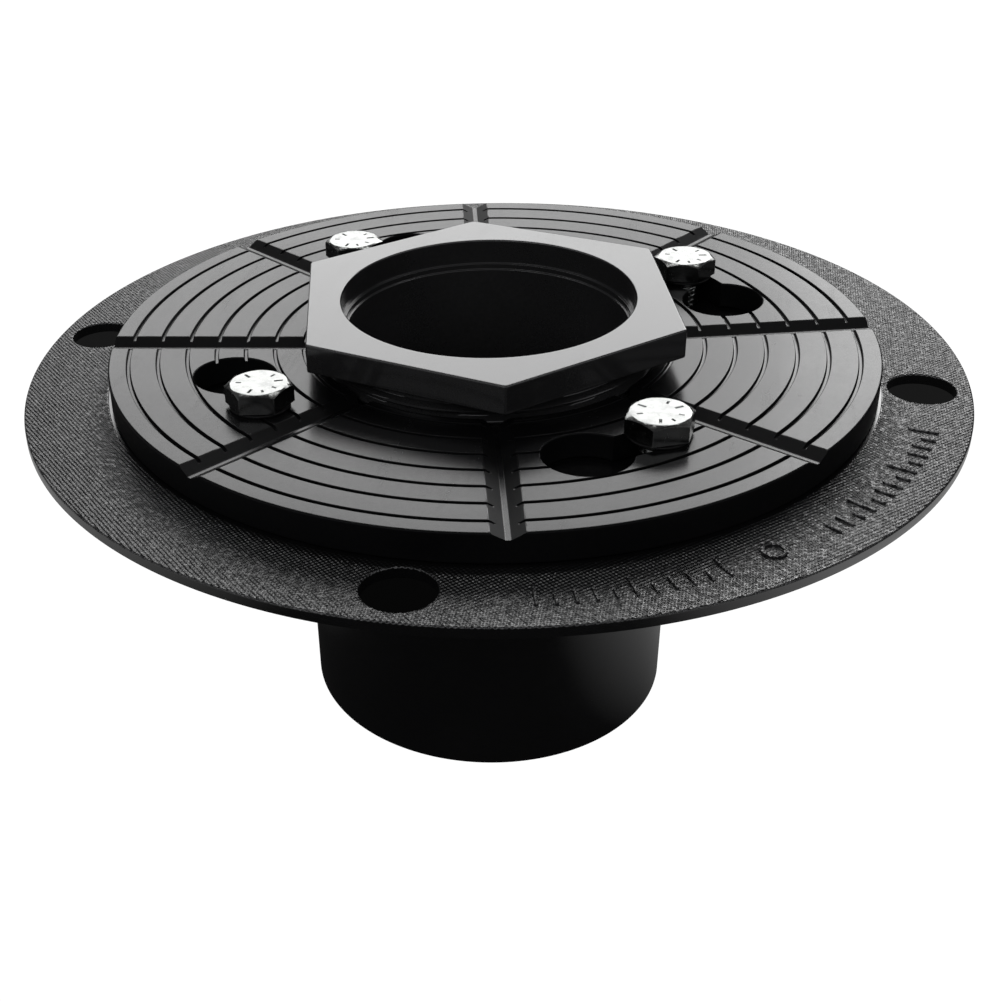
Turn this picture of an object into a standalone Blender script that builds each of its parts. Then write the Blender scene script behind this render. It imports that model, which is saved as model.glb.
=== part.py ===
"""Adjustable floor-drain base flange: a moulded base with its outlet spigot,
a grooved clamping ring with keyhole slots, a hex-topped threaded collar that
screws up and down in the ring, and four M8 hex screws into brass inserts.

Units are metres, +Z is up, and the origin is the centre of the spigot's
bottom end.  Angles are about +Z from +X.
"""

import math

import bmesh
import bpy
from mathutils import Matrix, Vector

MM = 0.001
NAME = "floor_drain_base_flange"

# ---------------------------------------------------------------- base flange
SEG = 64                      # facets of the large turned shapes
TOP = 84.8                    # height of the flange's upper face
FLANGE_R = 106.5
RIM_T = 2.5                   # thickness at the rim
PLATE_T = 3.2                 # thickness under the clamping ring
SPIGOT_R_BOTTOM = 43.65       # moulding draft: the spigot narrows downwards
SPIGOT_R_TOP = 44.4
SPIGOT_BORE_R = 41.0
SPIGOT_BORE_R_BOTTOM = 40.4
THROAT_R = 44.2               # counterbore that takes the ring's sleeve
THROAT_DEPTH = 13.6
HUB_R = 47.8                  # outside of the thickened throat
SEAT_R = 87.6                 # shallow seat that the clamping ring lies in
SEAT_DEPTH = 0.2
FIX_HOLE_R = 7.2              # four fixing holes near the rim
FIX_HOLE_CIRCLE = 96.1
FIX_HOLE_ANGLES = (0.0, 90.0, 180.0, 270.0)

# ------------------------------------------------------ screws, on the base
BOLT_CIRCLE = 59.4
BOLT_ANGLES = (45.0, 135.0, 225.0, 315.0)
BOLT_NAMES = ("back_right", "back_left", "front_left", "front_right")
BOLT_R = 4.0                  # M8
BOLT_AF = 13.0
BOLT_LENGTH = 24.6
BOLT_HOLE_R = 4.5
BOSS_R = 9.0
BOSS_DEPTH = 16.0
INSERT_R = 5.75
INSERT_BORE_R = 4.3
INSERT_LENGTH = 12.0
POCKET_R = 6.05
WASHER_R = 6.6
WASHER_BORE_R = 4.3
WASHER_T = 0.6
GAP = 0.3                     # clearance between pieces that rest together

# ------------------------------------------------------------ clamping ring
RING_SEG = 64
RING_R = 87.0
RING_H = 7.0                  # above the flange, at the ring's outer edge
RING_SLOPE = 0.0307           # the top falls towards the drain
RING_BORE_R = 39.4            # thread crest in the sleeve
RING_SLEEVE_R = 43.4
RING_SLEEVE_DEPTH = 12.5
RING_ANGLE = 11.95            # how the ring is turned on the base at rest
GROOVE_R0 = 82.48             # outermost of the seven grip grooves
GROOVE_STEP = 6.67
GROOVE_COUNT = 7
GROOVE_W = 1.0
GROOVE_D = 0.8
CHANNEL_COUNT = 8
CHANNEL_W = 6.5
CHANNEL_D = 1.5
KEYHOLE_R = 9.25
KEYHOLE_ANGLE = 17.0          # from a channel to the big hole's centre
SLOT_R = 4.5
SLOT_END_ANGLE = 33.05        # from the same channel to the slot's end

# ------------------------------------------------------------ hex collar
HEX_CORNER_R = 47.2
HEX_TOP = 16.6                # above the flange
HEX_T = 6.65
HEX_ANGLE = 43.95
COLLAR_BORE_R = 33.4
COLLAR_LEDGE_DEPTH = 5.9
COLLAR_LOWER_BORE_R = 32.2
SHANK_R = 39.0
SHANK_BOTTOM = -30.0          # below the flange's upper face
SEAL_Z = -27.0
SEAL_R = 39.2                 # centreline radius of the O-ring's section
SEAL_CORD_R = 1.5

for old in list(bpy.data.objects):
    bpy.data.objects.remove(old, do_unlink=True)

scene = bpy.context.scene
parts = bpy.data.collections.new(NAME)
cutters = bpy.data.collections.new("cutters")
scene.collection.children.link(parts)
scene.collection.children.link(cutters)


# ------------------------------------------------------------------ materials
def material(name, colour, roughness, metallic):
    mat = bpy.data.materials.new(name)
    mat.use_nodes = True
    bsdf = mat.node_tree.nodes["Principled BSDF"]
    bsdf.inputs["Base Color"].default_value = (*colour, 1.0)
    bsdf.inputs["Roughness"].default_value = roughness
    bsdf.inputs["Metallic"].default_value = metallic
    return mat


ABS_BASE = material("black_abs_textured", (0.014, 0.014, 0.015), 0.45, 0.0)
ABS_RING = material("black_abs_ring", (0.012, 0.012, 0.013), 0.28, 0.0)
ABS_COLLAR = material("black_abs_collar", (0.013, 0.013, 0.014), 0.30, 0.0)
RUBBER = material("black_rubber", (0.016, 0.016, 0.017), 0.75, 0.0)
NYLON = material("black_nylon", (0.014, 0.014, 0.014), 0.50, 0.0)
STEEL = material("zinc_plated_steel", (0.80, 0.81, 0.82), 0.24, 1.0)
BRASS = material("brass", (0.74, 0.56, 0.26), 0.30, 1.0)


# ---------------------------------------------------------------- shape tools
def place(obj, collection):
    for owner in list(obj.users_collection):
        owner.objects.unlink(obj)
    collection.objects.link(obj)
    return obj


def empty(name, location, angle=0.0, parent=None):
    obj = bpy.data.objects.new(name, None)
    parts.objects.link(obj)
    obj.parent = parent
    obj.location = Vector(location) * MM
    obj.rotation_euler = (0.0, 0.0, math.radians(angle))
    return obj


def turned(name, profile, seg, collection, closed=True):
    """A profile of (radius, height) in mm swept once round Z with a Screw
    modifier.  The profile runs down its outer side and up its inner side."""
    mesh = bpy.data.meshes.new(name)
    bm = bmesh.new()
    verts = [bm.verts.new((r * MM, 0.0, z * MM)) for r, z in profile]
    for a, b in zip(verts, verts[1:]):
        bm.edges.new((a, b))
    if closed:
        bm.edges.new((verts[-1], verts[0]))
    bm.to_mesh(mesh)
    bm.free()
    obj = bpy.data.objects.new(name, mesh)
    collection.objects.link(obj)
    mod = obj.modifiers.new("turn", "SCREW")
    mod.axis = "Z"
    mod.angle = math.tau
    mod.screw_offset = 0.0
    mod.steps = seg
    mod.render_steps = seg
    mod.use_merge_vertices = True
    mod.merge_threshold = 0.00001
    mod.use_smooth_shade = False
    return obj


def cylinder(name, radius, z_low, z_high, sides, collection, at=(0.0, 0.0), spin=0.0):
    bpy.ops.mesh.primitive_cylinder_add(
        vertices=sides, radius=radius * MM, depth=(z_high - z_low) * MM,
        location=(at[0] * MM, at[1] * MM, (z_low + z_high) / 2 * MM),
    )
    obj = bpy.context.object
    obj.name = name
    if spin:
        obj.rotation_euler = (0.0, 0.0, math.radians(spin))
    return place(obj, collection)


def box(name, size, location, spin, collection):
    bpy.ops.mesh.primitive_cube_add(size=1.0, location=[v * MM for v in location])
    obj = bpy.context.object
    obj.name = name
    obj.data.transform(Matrix.Diagonal((size[0] * MM, size[1] * MM, size[2] * MM, 1.0)))
    obj.rotation_euler = (0.0, 0.0, math.radians(spin))
    return place(obj, collection)


def outline(name, points, z_low, z_high, collection):
    """A flat outline in mm, filled and extruded, as a closed mesh."""
    mesh = bpy.data.meshes.new(name)
    bm = bmesh.new()
    face = bm.faces.new([bm.verts.new((x * MM, y * MM, z_low * MM)) for x, y in points])
    bmesh.ops.recalc_face_normals(bm, faces=[face])
    if face.normal.z > 0:
        face.normal_flip()
    grown = bmesh.ops.extrude_face_region(bm, geom=[face])
    top = [v for v in grown["geom"] if isinstance(v, bmesh.types.BMVert)]
    bmesh.ops.translate(bm, verts=top, vec=(0.0, 0.0, (z_high - z_low) * MM))
    bmesh.ops.recalc_face_normals(bm, faces=bm.faces)
    bm.to_mesh(mesh)
    bm.free()
    obj = bpy.data.objects.new(name, mesh)
    collection.objects.link(obj)
    return obj


def boolean(target, tool, operation):
    mod = target.modifiers.new(tool.name, "BOOLEAN")
    mod.operation = operation
    mod.object = tool
    mod.solver = "EXACT"
    tool.hide_render = True
    tool.display_type = "WIRE"
    return mod


def bevel(obj, width, angle=30.0, segments=1):
    mod = obj.modifiers.new("edge", "BEVEL")
    mod.width = width * MM
    mod.segments = segments
    mod.limit_method = "ANGLE"
    mod.angle_limit = math.radians(angle)
    return mod


def finish(obj, mat, smooth=35.0):
    obj.data.materials.clear()
    obj.data.materials.append(mat)
    obj.data.shade_smooth()
    obj.data.set_sharp_from_angle(angle=math.radians(smooth))
    return obj


def polar(radius, angle):
    a = math.radians(angle)
    return radius * math.cos(a), radius * math.sin(a)


# ---------------------------------------------------------------- base flange
# One moulding: thin round flange, throat for the ring's sleeve, four screw
# bosses and eight ribs underneath, and the outlet spigot.
base_profile = [
    (THROAT_R, TOP - SEAT_DEPTH),
    (SEAT_R, TOP - SEAT_DEPTH),
    (SEAT_R, TOP),
    (FLANGE_R - 0.5, TOP),
    (FLANGE_R, TOP - 0.5),
    (FLANGE_R, TOP - RIM_T + 0.4),
    (FLANGE_R - 0.4, TOP - RIM_T),
    (89.0, TOP - RIM_T),
    (85.0, TOP - PLATE_T),
    (HUB_R + 4.0, TOP - PLATE_T),
    (HUB_R + 1.2, TOP - PLATE_T - 1.2),
    (HUB_R, TOP - PLATE_T - 4.0),
    (HUB_R, TOP - THROAT_DEPTH - 1.5),
    (SPIGOT_R_TOP, TOP - THROAT_DEPTH - 6.0),
    (SPIGOT_R_BOTTOM + 0.05, 1.0),
    (SPIGOT_R_BOTTOM - 0.8, 0.0),
    (SPIGOT_BORE_R_BOTTOM + 0.6, 0.0),
    (SPIGOT_BORE_R_BOTTOM, 0.6),
    (SPIGOT_BORE_R, TOP - THROAT_DEPTH - 1.2),
    (SPIGOT_BORE_R + 1.2, TOP - THROAT_DEPTH),
    (THROAT_R, TOP - THROAT_DEPTH),
]
base = turned("base_flange", base_profile, SEG, parts)

for i, angle in enumerate(BOLT_ANGLES):
    x, y = polar(BOLT_CIRCLE, angle)
    boss = cylinder(f"boss_{i}", BOSS_R, TOP - BOSS_DEPTH, TOP - 1.0, 32, cutters, (x, y))
    boolean(base, boss, "UNION")
for i in range(8):
    # a rib is a tapering web from the throat's wall to under the ring's edge
    mid = (HUB_R - 1.5 + 84.0) / 2
    web = box(f"rib_{i}", (84.0 - HUB_R + 1.5, 2.6, 9.0), (0, 0, 0), 0, cutters)
    for v in web.data.vertices:
        v.co.x += mid * MM
        v.co.z += (TOP - 1.2 - 4.5) * MM
        if v.co.x > mid * MM and v.co.z < (TOP - 5.0) * MM:
            v.co.z = (TOP - PLATE_T - 1.0) * MM
    web.rotation_euler = (0, 0, math.radians(45.0 * i))
    boolean(base, web, "UNION")
for i, angle in enumerate(BOLT_ANGLES):
    x, y = polar(BOLT_CIRCLE, angle)
    through = cylinder(f"bolt_hole_{i}", BOLT_HOLE_R, TOP - BOSS_DEPTH - 2, TOP + 2, 24, cutters, (x, y))
    boolean(base, through, "DIFFERENCE")
    pocket = cylinder(f"insert_pocket_{i}", POCKET_R, TOP - BOSS_DEPTH - 2, TOP - PLATE_T, 24, cutters, (x, y))
    boolean(base, pocket, "DIFFERENCE")
for i, angle in enumerate(FIX_HOLE_ANGLES):
    x, y = polar(FIX_HOLE_CIRCLE, angle)
    hole = cylinder(f"fixing_hole_{i}", FIX_HOLE_R, TOP - 10, TOP + 5, 32, cutters, (x, y))
    boolean(base, hole, "DIFFERENCE")
finish(base, ABS_BASE)

# ------------------------------------------------------------ clamping ring
ring_frame = empty("clamp_ring_axis", (0, 0, TOP), RING_ANGLE)


def ring_top(radius):
    return RING_H - RING_SLOPE * (RING_R - radius)


ring_profile = [
    (RING_BORE_R + 1.6, ring_top(RING_BORE_R + 1.6)),
]
for k in reversed(range(GROOVE_COUNT)):
    r = GROOVE_R0 - GROOVE_STEP * k
    ring_profile += [
        (r - GROOVE_W / 2, ring_top(r - GROOVE_W / 2)),
        (r, ring_top(r) - GROOVE_D),
        (r + GROOVE_W / 2, ring_top(r + GROOVE_W / 2)),
    ]
ring_profile += [
    (RING_R - 0.5, ring_top(RING_R - 0.5)),
    (RING_R, ring_top(RING_R) - 0.5),
    (RING_R, GAP),
    (RING_SLEEVE_R, GAP),
    (RING_SLEEVE_R, -RING_SLEEVE_DEPTH + 0.8),
    (RING_SLEEVE_R - 0.8, -RING_SLEEVE_DEPTH),
    (RING_BORE_R + 0.8, -RING_SLEEVE_DEPTH),
    (RING_BORE_R, -RING_SLEEVE_DEPTH + 0.8),
    (RING_BORE_R, ring_top(RING_BORE_R) - 1.6),
]
ring = turned("clamp_ring", ring_profile, RING_SEG, parts)
ring.parent = ring_frame

# radial channels: shallow, round-bottomed, falling with the ring's top and
# running from the sleeve out through the edge
channel_r = CHANNEL_W ** 2 / (8 * CHANNEL_D) + CHANNEL_D / 2
tilt = math.atan(RING_SLOPE)
for i in range(CHANNEL_COUNT):
    bpy.ops.mesh.primitive_cylinder_add(vertices=20, radius=channel_r * MM, depth=60 * MM)
    tool = bpy.context.object
    tool.name = f"channel_{i}"
    place(tool, cutters)
    mid = 65.0
    turn = Matrix.Rotation(math.radians(45.0 * i), 4, "Z")
    at = Matrix.Translation(Vector((mid, 0.0, ring_top(mid) + channel_r - CHANNEL_D)) * MM)
    lay = Matrix.Rotation(math.radians(90.0) - tilt, 4, "Y")
    tool.data.transform(turn @ at @ lay @ Matrix.Rotation(math.radians(9.0), 4, "Z"))
    tool.parent = ring_frame
    boolean(ring, tool, "DIFFERENCE")

# keyholes: a big hole the screw head passes, and a curved slot for the shank
for i in range(4):
    big = 90.0 * i + KEYHOLE_ANGLE
    end = 90.0 * i + SLOT_END_ANGLE
    x, y = polar(BOLT_CIRCLE, big)
    hole = cylinder(f"keyhole_{i}", KEYHOLE_R, -5, 15, 32, cutters, (x, y))
    hole.parent = ring_frame
    boolean(ring, hole, "DIFFERENCE")
    ring_of = []
    for k in range(7):
        ring_of.append(polar(BOLT_CIRCLE + SLOT_R, big + (end - big) * k / 6))
    for k in range(1, 8):
        a = math.radians(end) + math.pi * k / 8
        cx, cy = polar(BOLT_CIRCLE, end)
        ring_of.append((cx + SLOT_R * math.cos(a), cy + SLOT_R * math.sin(a)))
    for k in reversed(range(7)):
        ring_of.append(polar(BOLT_CIRCLE - SLOT_R, big + (end - big) * k / 6))
    slot = outline(f"slot_{i}", ring_of, -5, 15, cutters)
    slot.parent = ring_frame
    boolean(ring, slot, "DIFFERENCE")
finish(ring, ABS_RING)

# ------------------------------------------------------------ hex collar
# The collar turns on the drain's axis, so its empty sits on it.
collar_frame = empty("collar_axis", (0, 0, TOP), HEX_ANGLE, None)
hex_low = HEX_TOP - HEX_T
plate = cylinder("drain_collar", HEX_CORNER_R, hex_low, HEX_TOP, 6, parts)
plate.data.transform(Matrix.Translation((0, 0, (HEX_TOP + hex_low) / 2 * MM)))
plate.location = (0, 0, 0)
# the six corners start at +X, so that the collar's angle is its corner's
first = min(plate.data.vertices, key=lambda v: abs(math.atan2(v.co.y, v.co.x)))
plate.data.transform(Matrix.Rotation(-math.atan2(first.co.y, first.co.x), 4, "Z"))
plate.parent = collar_frame
bevel(plate, 0.45)
shank_profile = [
    (30.0, hex_low + 1.0),
    (SHANK_R - 0.3, hex_low + 1.0),
    (SHANK_R - 0.3, -16.5),
    (SHANK_R - 0.9, -17.1),
    (SHANK_R - 0.9, SEAL_Z + SEAL_CORD_R + 0.4),
    (SEAL_R - SEAL_CORD_R - 0.3, SEAL_Z + SEAL_CORD_R + 0.4),
    (SEAL_R - SEAL_CORD_R - 0.3, SEAL_Z - SEAL_CORD_R - 0.4),
    (SHANK_R - 0.9, SEAL_Z - SEAL_CORD_R - 0.4),
    (SHANK_R - 0.9, SHANK_BOTTOM + 0.8),
    (SHANK_R - 1.7, SHANK_BOTTOM),
    (30.0, SHANK_BOTTOM),
]
shank = turned("collar_shank", shank_profile, SEG, cutters)
shank.parent = collar_frame
boolean(plate, shank, "UNION")
bore_profile = [
    (0.0, HEX_TOP + 3.0),
    (COLLAR_BORE_R + 3.4, HEX_TOP + 3.0),
    (COLLAR_BORE_R, HEX_TOP - 0.4),
    (COLLAR_BORE_R, HEX_TOP - COLLAR_LEDGE_DEPTH),
    (COLLAR_BORE_R - 0.7, HEX_TOP - COLLAR_LEDGE_DEPTH),
    (COLLAR_BORE_R - 0.7, HEX_TOP - COLLAR_LEDGE_DEPTH - 1.3),
    (COLLAR_LOWER_BORE_R, HEX_TOP - COLLAR_LEDGE_DEPTH - 1.3),
    (COLLAR_LOWER_BORE_R, SHANK_BOTTOM - 3.0),
    (0.0, SHANK_BOTTOM - 3.0),
]
bore = turned("collar_bore", bore_profile, SEG, cutters, closed=False)
bore.parent = collar_frame
boolean(plate, bore, "DIFFERENCE")
finish(plate, ABS_COLLAR)

seal_frame = empty("collar_seal_axis", (0, 0, TOP + SEAL_Z))
bpy.ops.mesh.primitive_torus_add(
    major_segments=48, minor_segments=8,
    major_radius=SEAL_R * MM, minor_radius=SEAL_CORD_R * MM,
)
seal = place(bpy.context.object, parts)
seal.name = "collar_o_ring"
seal.parent = seal_frame
finish(seal, RUBBER, 60.0)

# ------------------------------------------------- screws, washers, inserts
head_seat = ring_top(BOLT_CIRCLE) + GAP + WASHER_T + GAP
head_top = head_seat + 4.25
for angle, tag in zip(BOLT_ANGLES, BOLT_NAMES):
    x, y = polar(BOLT_CIRCLE, angle)
    axis = empty(f"screw_axis_{tag}", (x, y, TOP), 0.0)
    spin = {"back_right": -0.3, "back_left": 10.0, "front_left": 11.6, "front_right": 23.9}[tag]

    # hexagon head with its 30 degree top chamfer, and the M8 shank
    head = cylinder(f"bolt_{tag}", BOLT_AF / math.sqrt(3), head_seat, head_top, 6, parts)
    head.data.transform(Matrix.Translation((0, 0, (head_seat + head_top) / 2 * MM)))
    head.location = (0, 0, 0)
    first = min(head.data.vertices, key=lambda v: abs(math.atan2(v.co.y, v.co.x)))
    head.data.transform(Matrix.Rotation(math.radians(spin) - math.atan2(first.co.y, first.co.x), 4, "Z"))
    cone_profile = [
        (0.0, head_top),
        (BOLT_AF / 2 * 0.95, head_top),
        (BOLT_AF / 2 * 0.95 + 3.0, head_top - 3.0 * math.tan(math.radians(30.0))),
        (BOLT_AF / 2 * 0.95 + 3.0, head_seat - 3.0),
        (0.0, head_seat - 3.0),
    ]
    cone = turned(f"head_chamfer_{tag}", cone_profile, 36, cutters, closed=False)
    cone.parent = axis
    boolean(head, cone, "INTERSECT")
    shaft_profile = [
        (0.0, head_seat + 1.0),
        (BOLT_R - 0.05, head_seat + 1.0),
        (BOLT_R - 0.05, head_seat - BOLT_LENGTH + 1.0),
        (BOLT_R - 1.0, head_seat - BOLT_LENGTH),
        (0.0, head_seat - BOLT_LENGTH),
    ]
    shaft = turned(f"bolt_shaft_{tag}", shaft_profile, 24, cutters, closed=False)
    shaft.parent = axis
    boolean(head, shaft, "UNION")
    head.parent = axis
    finish(head, STEEL, 25.0)

    washer = turned(
        f"washer_{tag}",
        [
            (WASHER_BORE_R, ring_top(BOLT_CIRCLE) + GAP + WASHER_T),
            (WASHER_R, ring_top(BOLT_CIRCLE) + GAP + WASHER_T),
            (WASHER_R, ring_top(BOLT_CIRCLE) + GAP),
            (WASHER_BORE_R, ring_top(BOLT_CIRCLE) + GAP),
        ],
        32,
        parts,
    )
    washer.parent = axis
    finish(washer, NYLON)

    low = -PLATE_T - GAP - INSERT_LENGTH
    insert = turned(
        f"threaded_insert_{tag}",
        [
            (INSERT_BORE_R, -PLATE_T - GAP),
            (INSERT_R, -PLATE_T - GAP),
            (INSERT_R, low),
            (INSERT_BORE_R, low),
        ],
        24,
        parts,
    )
    insert.parent = axis
    finish(insert, BRASS)

bpy.context.view_layer.update()
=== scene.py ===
import math

import bmesh
import bpy
import numpy as np
from mathutils import Matrix, Vector


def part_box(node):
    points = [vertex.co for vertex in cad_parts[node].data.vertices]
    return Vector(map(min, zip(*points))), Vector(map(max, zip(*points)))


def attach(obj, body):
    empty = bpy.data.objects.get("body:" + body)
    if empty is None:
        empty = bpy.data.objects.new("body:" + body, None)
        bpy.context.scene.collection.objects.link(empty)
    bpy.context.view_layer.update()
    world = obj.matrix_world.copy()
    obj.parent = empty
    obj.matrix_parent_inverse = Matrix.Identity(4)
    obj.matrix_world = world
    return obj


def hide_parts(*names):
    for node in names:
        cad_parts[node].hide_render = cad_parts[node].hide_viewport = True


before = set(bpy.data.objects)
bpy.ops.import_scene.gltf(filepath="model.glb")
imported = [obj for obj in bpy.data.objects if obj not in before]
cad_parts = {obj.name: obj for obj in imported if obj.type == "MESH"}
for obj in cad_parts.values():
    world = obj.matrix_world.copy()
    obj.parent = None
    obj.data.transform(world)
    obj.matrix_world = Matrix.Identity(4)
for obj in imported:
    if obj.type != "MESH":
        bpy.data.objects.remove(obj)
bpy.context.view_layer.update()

MM = 0.001


def cad(node):
    low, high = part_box(node)
    return [v / MM for v in low], [v / MM for v in high]


# ------------------------------------------------------------ driving sizes
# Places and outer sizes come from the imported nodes, all in mm.
base_low, base_high = cad("base_flange")
ring_low, ring_high = cad("clamp_ring")
collar_low, collar_high = cad("drain_collar")
TOP = base_high[2]
FLANGE_R = (base_high[0] - base_low[0]) / 2
RING_R = 87.0
RING_H = ring_high[2] - TOP
HEX_TOP = collar_high[2] - TOP
SHANK_BOTTOM = collar_low[2] - TOP

RIM_T, PLATE_T = 2.5, 3.2
SEAT_R, SEAT_DEPTH = 87.6, 0.2
THROAT_R, THROAT_DEPTH, HUB_R = 44.2, 13.6, 47.8
SPIGOT_R_TOP, SPIGOT_R_BOTTOM = 44.4, 43.65
SPIGOT_BORE_R, SPIGOT_BORE_R_BOTTOM = 41.0, 40.4
FIX_HOLE_R, FIX_HOLE_CIRCLE = 7.2, 96.1
BOLT_CIRCLE = 59.4
RING_SLOPE, RING_ANGLE = 0.0307, 11.95
RING_SLEEVE_R, RING_SLEEVE_DEPTH = 43.4, 12.5
RING_THREAD_CREST, RING_THREAD_ROOT = 39.4, 40.6
GROOVE_R0, GROOVE_STEP, GROOVES = 82.48, 6.67, 7
GROOVE_W, GROOVE_D = 0.84, 0.8
CHANNEL_W, CHANNEL_D = 6.5, 1.55
KEYHOLE_R, KEYHOLE_ANGLE = 9.25, 17.0
SLOT_R, SLOT_END = 4.5, 33.05
HEX_CORNER_R, HEX_T, HEX_ANGLE = 47.2, 6.65, 43.95
COLLAR_BORE_R, LEDGE_DEPTH = 33.4, 5.9
COLLAR_PITCH, BOLT_PITCH = 2.5, 1.25
SHANK_MAJOR, SHANK_MINOR = 38.95, 37.6
SEAL_Z, SEAL_R, SEAL_CORD_R = -27.0, 39.2, 1.5
BOLT_AF = 13.0
BOLTS = (("back_right", 45.0, -0.3), ("back_left", 135.0, 10.0),
         ("front_left", 225.0, 11.6), ("front_right", 315.0, 23.9))


def ring_top(r):
    return RING_H - RING_SLOPE * (RING_R - r)


def polar(r, angle):
    a = math.radians(angle)
    return r * math.cos(a), r * math.sin(a)


# --------------------------------------------------------------- mesh tools
def link(obj):
    bpy.context.scene.collection.objects.link(obj)
    return obj


def to_object(name, verts, faces):
    """verts in mm; the winding is turned so that the closed surface faces out."""
    verts = np.asarray(verts, dtype=float)
    mesh = bpy.data.meshes.new(name)
    tris = np.array([(f[0], f[i], f[i + 1]) for f in faces for i in range(1, len(f) - 1)])
    a, b, c = verts[tris[:, 0]], verts[tris[:, 1]], verts[tris[:, 2]]
    if float(np.einsum("ij,ij->i", a, np.cross(b, c)).sum()) < 0:
        faces = [tuple(reversed(f)) for f in faces]
    mesh.from_pydata((verts * MM).tolist(), [], [tuple(int(i) for i in f) for f in faces])
    return link(bpy.data.objects.new(name, mesh))


def loops_object(name, loops, close_profile=True, caps=False):
    """Closed loops of equal length, joined one after another with quads.
    With caps the first and last loop are filled to a centre point."""
    loops = np.asarray(loops, dtype=float)
    m, n, _ = loops.shape
    verts = loops.reshape(-1, 3)
    idx = np.arange(m * n).reshape(m, n)
    rows = m if close_profile else m - 1
    a = idx[:rows]
    b = np.roll(idx, -1, axis=0)[:rows]
    quads = np.stack([a, np.roll(a, -1, 1), np.roll(b, -1, 1), b], -1).reshape(-1, 4)
    faces = [tuple(q) for q in quads]
    if caps:
        extra = []
        for row, flip in ((0, True), (m - 1, False)):
            centre = loops[row].mean(axis=0)
            extra.append(centre)
            c = m * n + len(extra) - 1
            for i in range(n):
                p, q = idx[row][i], idx[row][(i + 1) % n]
                faces.append((c, q, p) if flip else (c, p, q))
        verts = np.vstack([verts, extra])
    return to_object(name, verts, faces)


def fillet(points):
    """A polyline of (r, z) or (r, z, radius[, steps]) with its corners rounded."""
    out = []
    n = len(points)
    for i, p in enumerate(points):
        rho = p[2] if len(p) > 2 else 0.0
        if rho <= 0:
            out.append((p[0], p[1]))
            continue
        steps = p[3] if len(p) > 3 else 4
        a = np.array(points[i - 1][:2], float) - np.array(p[:2], float)
        b = np.array(points[(i + 1) % n][:2], float) - np.array(p[:2], float)
        la, lb = np.linalg.norm(a), np.linalg.norm(b)
        a, b = a / la, b / lb
        half = math.acos(max(-1.0, min(1.0, float(a @ b)))) / 2
        reach = min(rho / math.tan(half), 0.49 * la, 0.49 * lb)
        rho = reach * math.tan(half)
        centre = np.array(p[:2]) + (a + b) / np.linalg.norm(a + b) * rho / math.sin(half)
        start = np.array(p[:2]) + a * reach - centre
        end = np.array(p[:2]) + b * reach - centre
        t0, t1 = math.atan2(start[1], start[0]), math.atan2(end[1], end[0])
        dt = (t1 - t0 + math.pi) % (2 * math.pi) - math.pi
        for k in range(steps + 1):
            t = t0 + dt * k / steps
            out.append((centre[0] + rho * math.cos(t), centre[1] + rho * math.sin(t)))
    return out


def split_long(profile, longest):
    """Extra points so that no straight run of the profile is longer than that."""
    out = []
    n = len(profile)
    for i, p in enumerate(profile):
        q = profile[(i + 1) % n]
        out.append(p)
        gap = math.hypot(q[0] - p[0], q[1] - p[1])
        k = int(gap // longest)
        for j in range(1, k + 1):
            out.append((p[0] + (q[0] - p[0]) * j / (k + 1), p[1] + (q[1] - p[1]) * j / (k + 1)))
    return out


def turned_loops(profile, seg, at=(0.0, 0.0), start=0.0):
    t = math.radians(start) + np.arange(seg) * 2 * math.pi / seg
    return np.array([np.stack([at[0] + r * np.cos(t), at[1] + r * np.sin(t), np.full(seg, z)], -1)
                     for r, z in profile])


def turned(name, profile, seg, at=(0.0, 0.0), start=0.0):
    return loops_object(name, turned_loops(profile, seg, at, start))


def solid_of_revolution(name, profile, seg, at=(0.0, 0.0), start=0.0):
    """The profile runs from the axis out and back; its first and last loops are capped."""
    return loops_object(name, turned_loops(profile, seg, at, start), close_profile=False, caps=True)


def prism(name, sections):
    """Closed outlines of equal length at rising heights, [(points, z), ...], in mm."""
    loops = [[(x, y, z) for x, y in pts] for pts, z in sections]
    return loops_object(name, loops, close_profile=False, caps=True)


def helical_wall(r_crest, r_root, z_from, z_to, pitch, seg, flat=0.2, rows_per_pitch=10, fade=0.6,
                 phase=0.0, hand=1):
    """Loops down a threaded cylinder: the radius follows a right-hand helix and
    the thread runs out to the root (or crest) at both ends."""
    count = max(2, int(round(abs(z_to - z_from) / pitch * rows_per_pitch)))
    t = np.arange(seg) * 2 * math.pi / seg
    loops = []
    for k in range(count + 1):
        z = z_from + (z_to - z_from) * k / count
        u = (z / pitch - hand * t / (2 * math.pi) + phase) % 1.0
        tri = np.abs(2 * u - 1)
        tooth = np.clip((tri - flat) / (1 - 2 * flat), 0, 1)
        tooth = tooth * tooth * (3 - 2 * tooth) * 0.35 + tooth * 0.65
        edge = min(abs(z - z_from), abs(z - z_to)) / (fade * pitch)
        strength = min(1.0, edge)
        r = r_root + (r_crest - r_root) * tooth * strength
        loops.append(np.stack([r * np.cos(t), r * np.sin(t), np.full(seg, z)], -1))
    return loops


def moved(points, x, y):
    p = np.array(points, dtype=float)
    p[..., 0] += x
    p[..., 1] += y
    return p


def spun(obj, angle, about=(0.0, 0.0)):
    turn = Matrix.Translation(Vector((about[0] * MM, about[1] * MM, 0))) @ \
        Matrix.Rotation(math.radians(angle), 4, "Z") @ \
        Matrix.Translation(Vector((-about[0] * MM, -about[1] * MM, 0)))
    obj.data.transform(turn)
    return obj


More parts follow.
